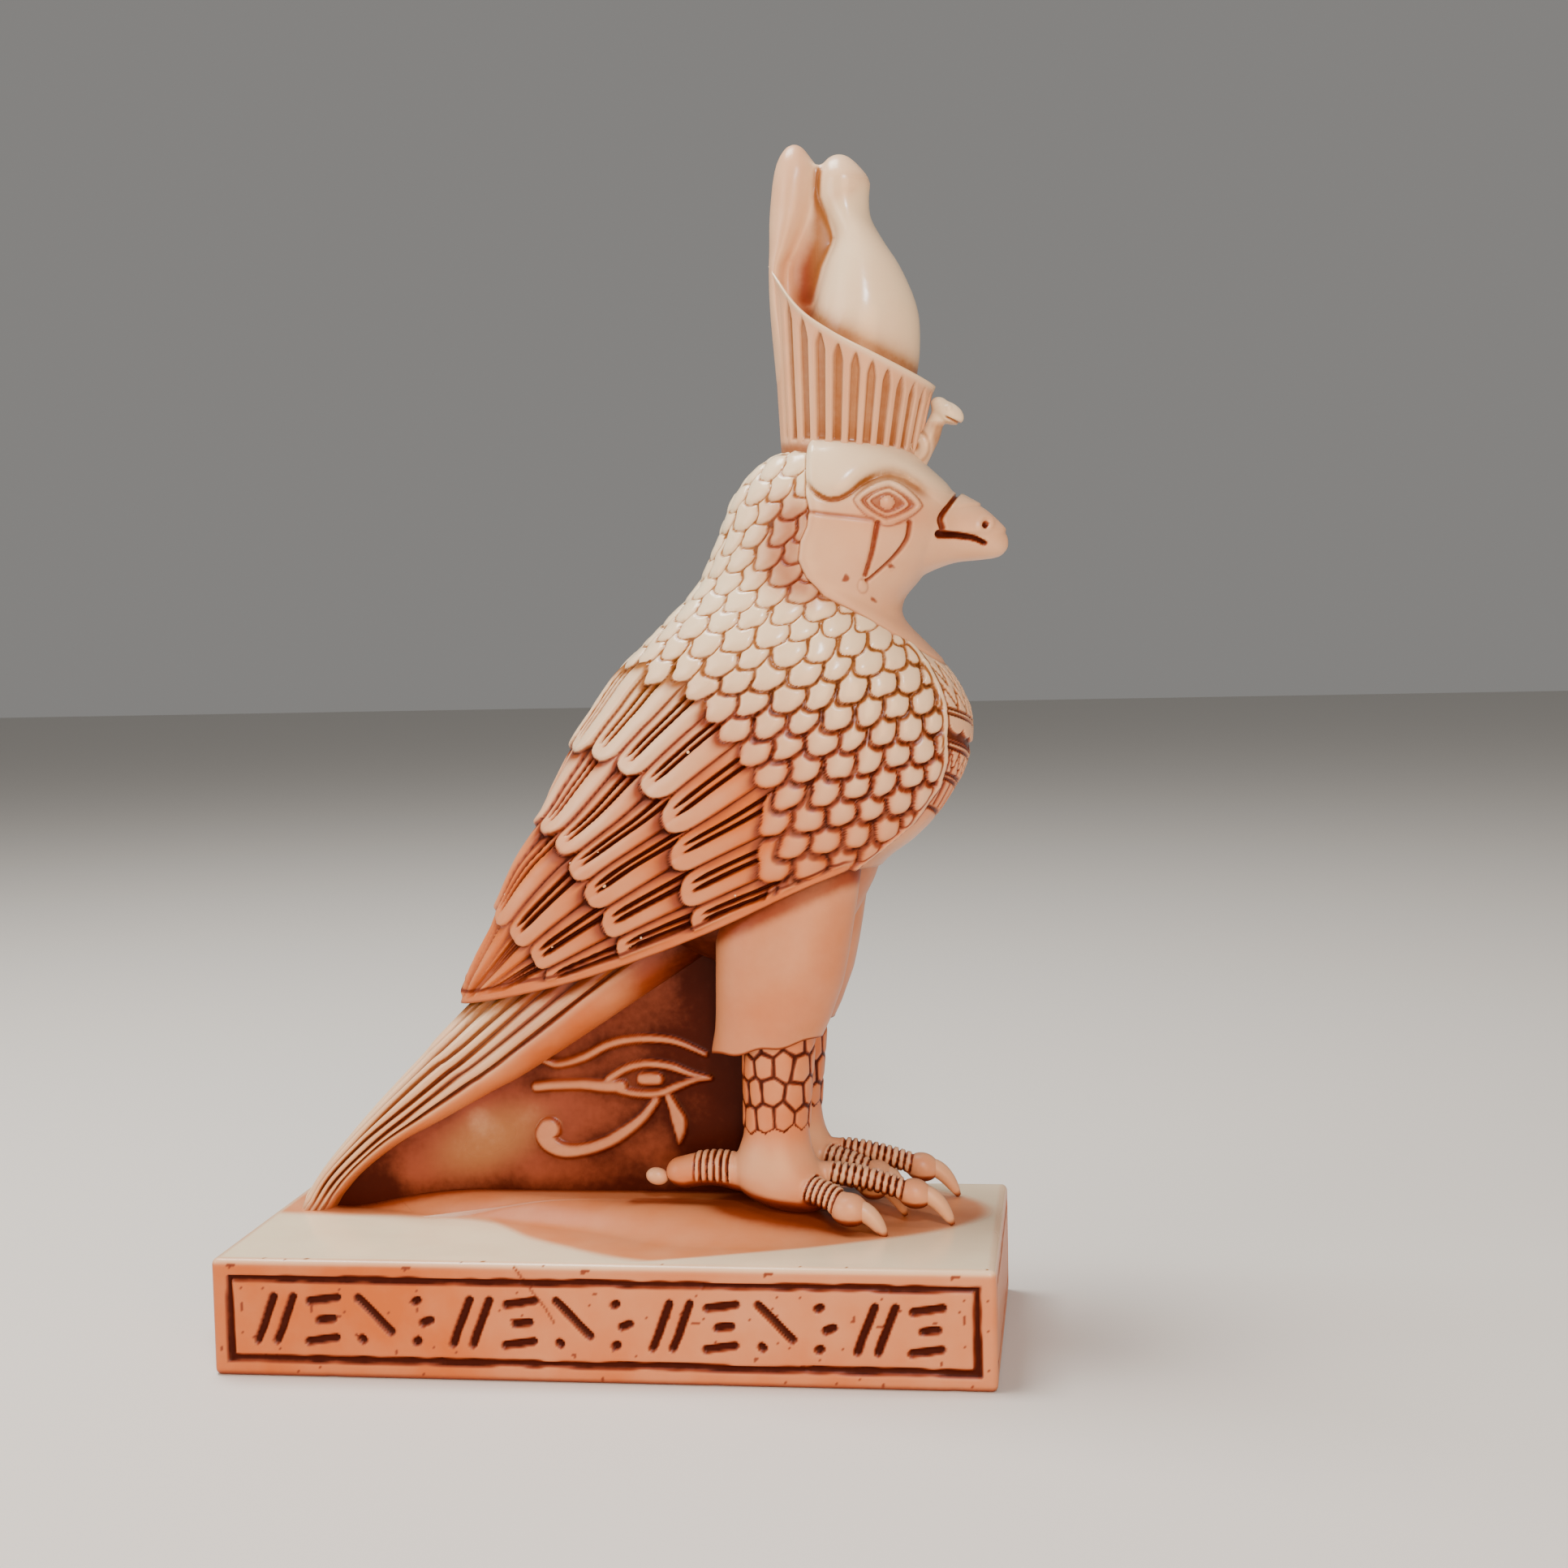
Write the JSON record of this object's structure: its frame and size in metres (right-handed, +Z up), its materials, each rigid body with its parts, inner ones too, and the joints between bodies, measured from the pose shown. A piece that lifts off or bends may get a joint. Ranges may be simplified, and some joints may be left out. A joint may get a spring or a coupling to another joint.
{
  "type": "horus falcon figure",
  "caption": "Standing falcon figure wearing a tall double crown, cast in one piece with a flat rectangular plinth, as a shelf ornament.",
  "frame": {"origin": "centre of the plinth's underside", "axes": "+Z up, +X the way the falcon faces, +Y to the falcon's left"},
  "size_m": [0.127, 0.0544, 0.1964],
  "materials": {
    "cast_resin": "satin ivory cast resin with a brown wash left in the carving"
  },
  "bodies": {
    "root": {"falcon_figure": "cast_resin"}
  },
  "joints": []
}
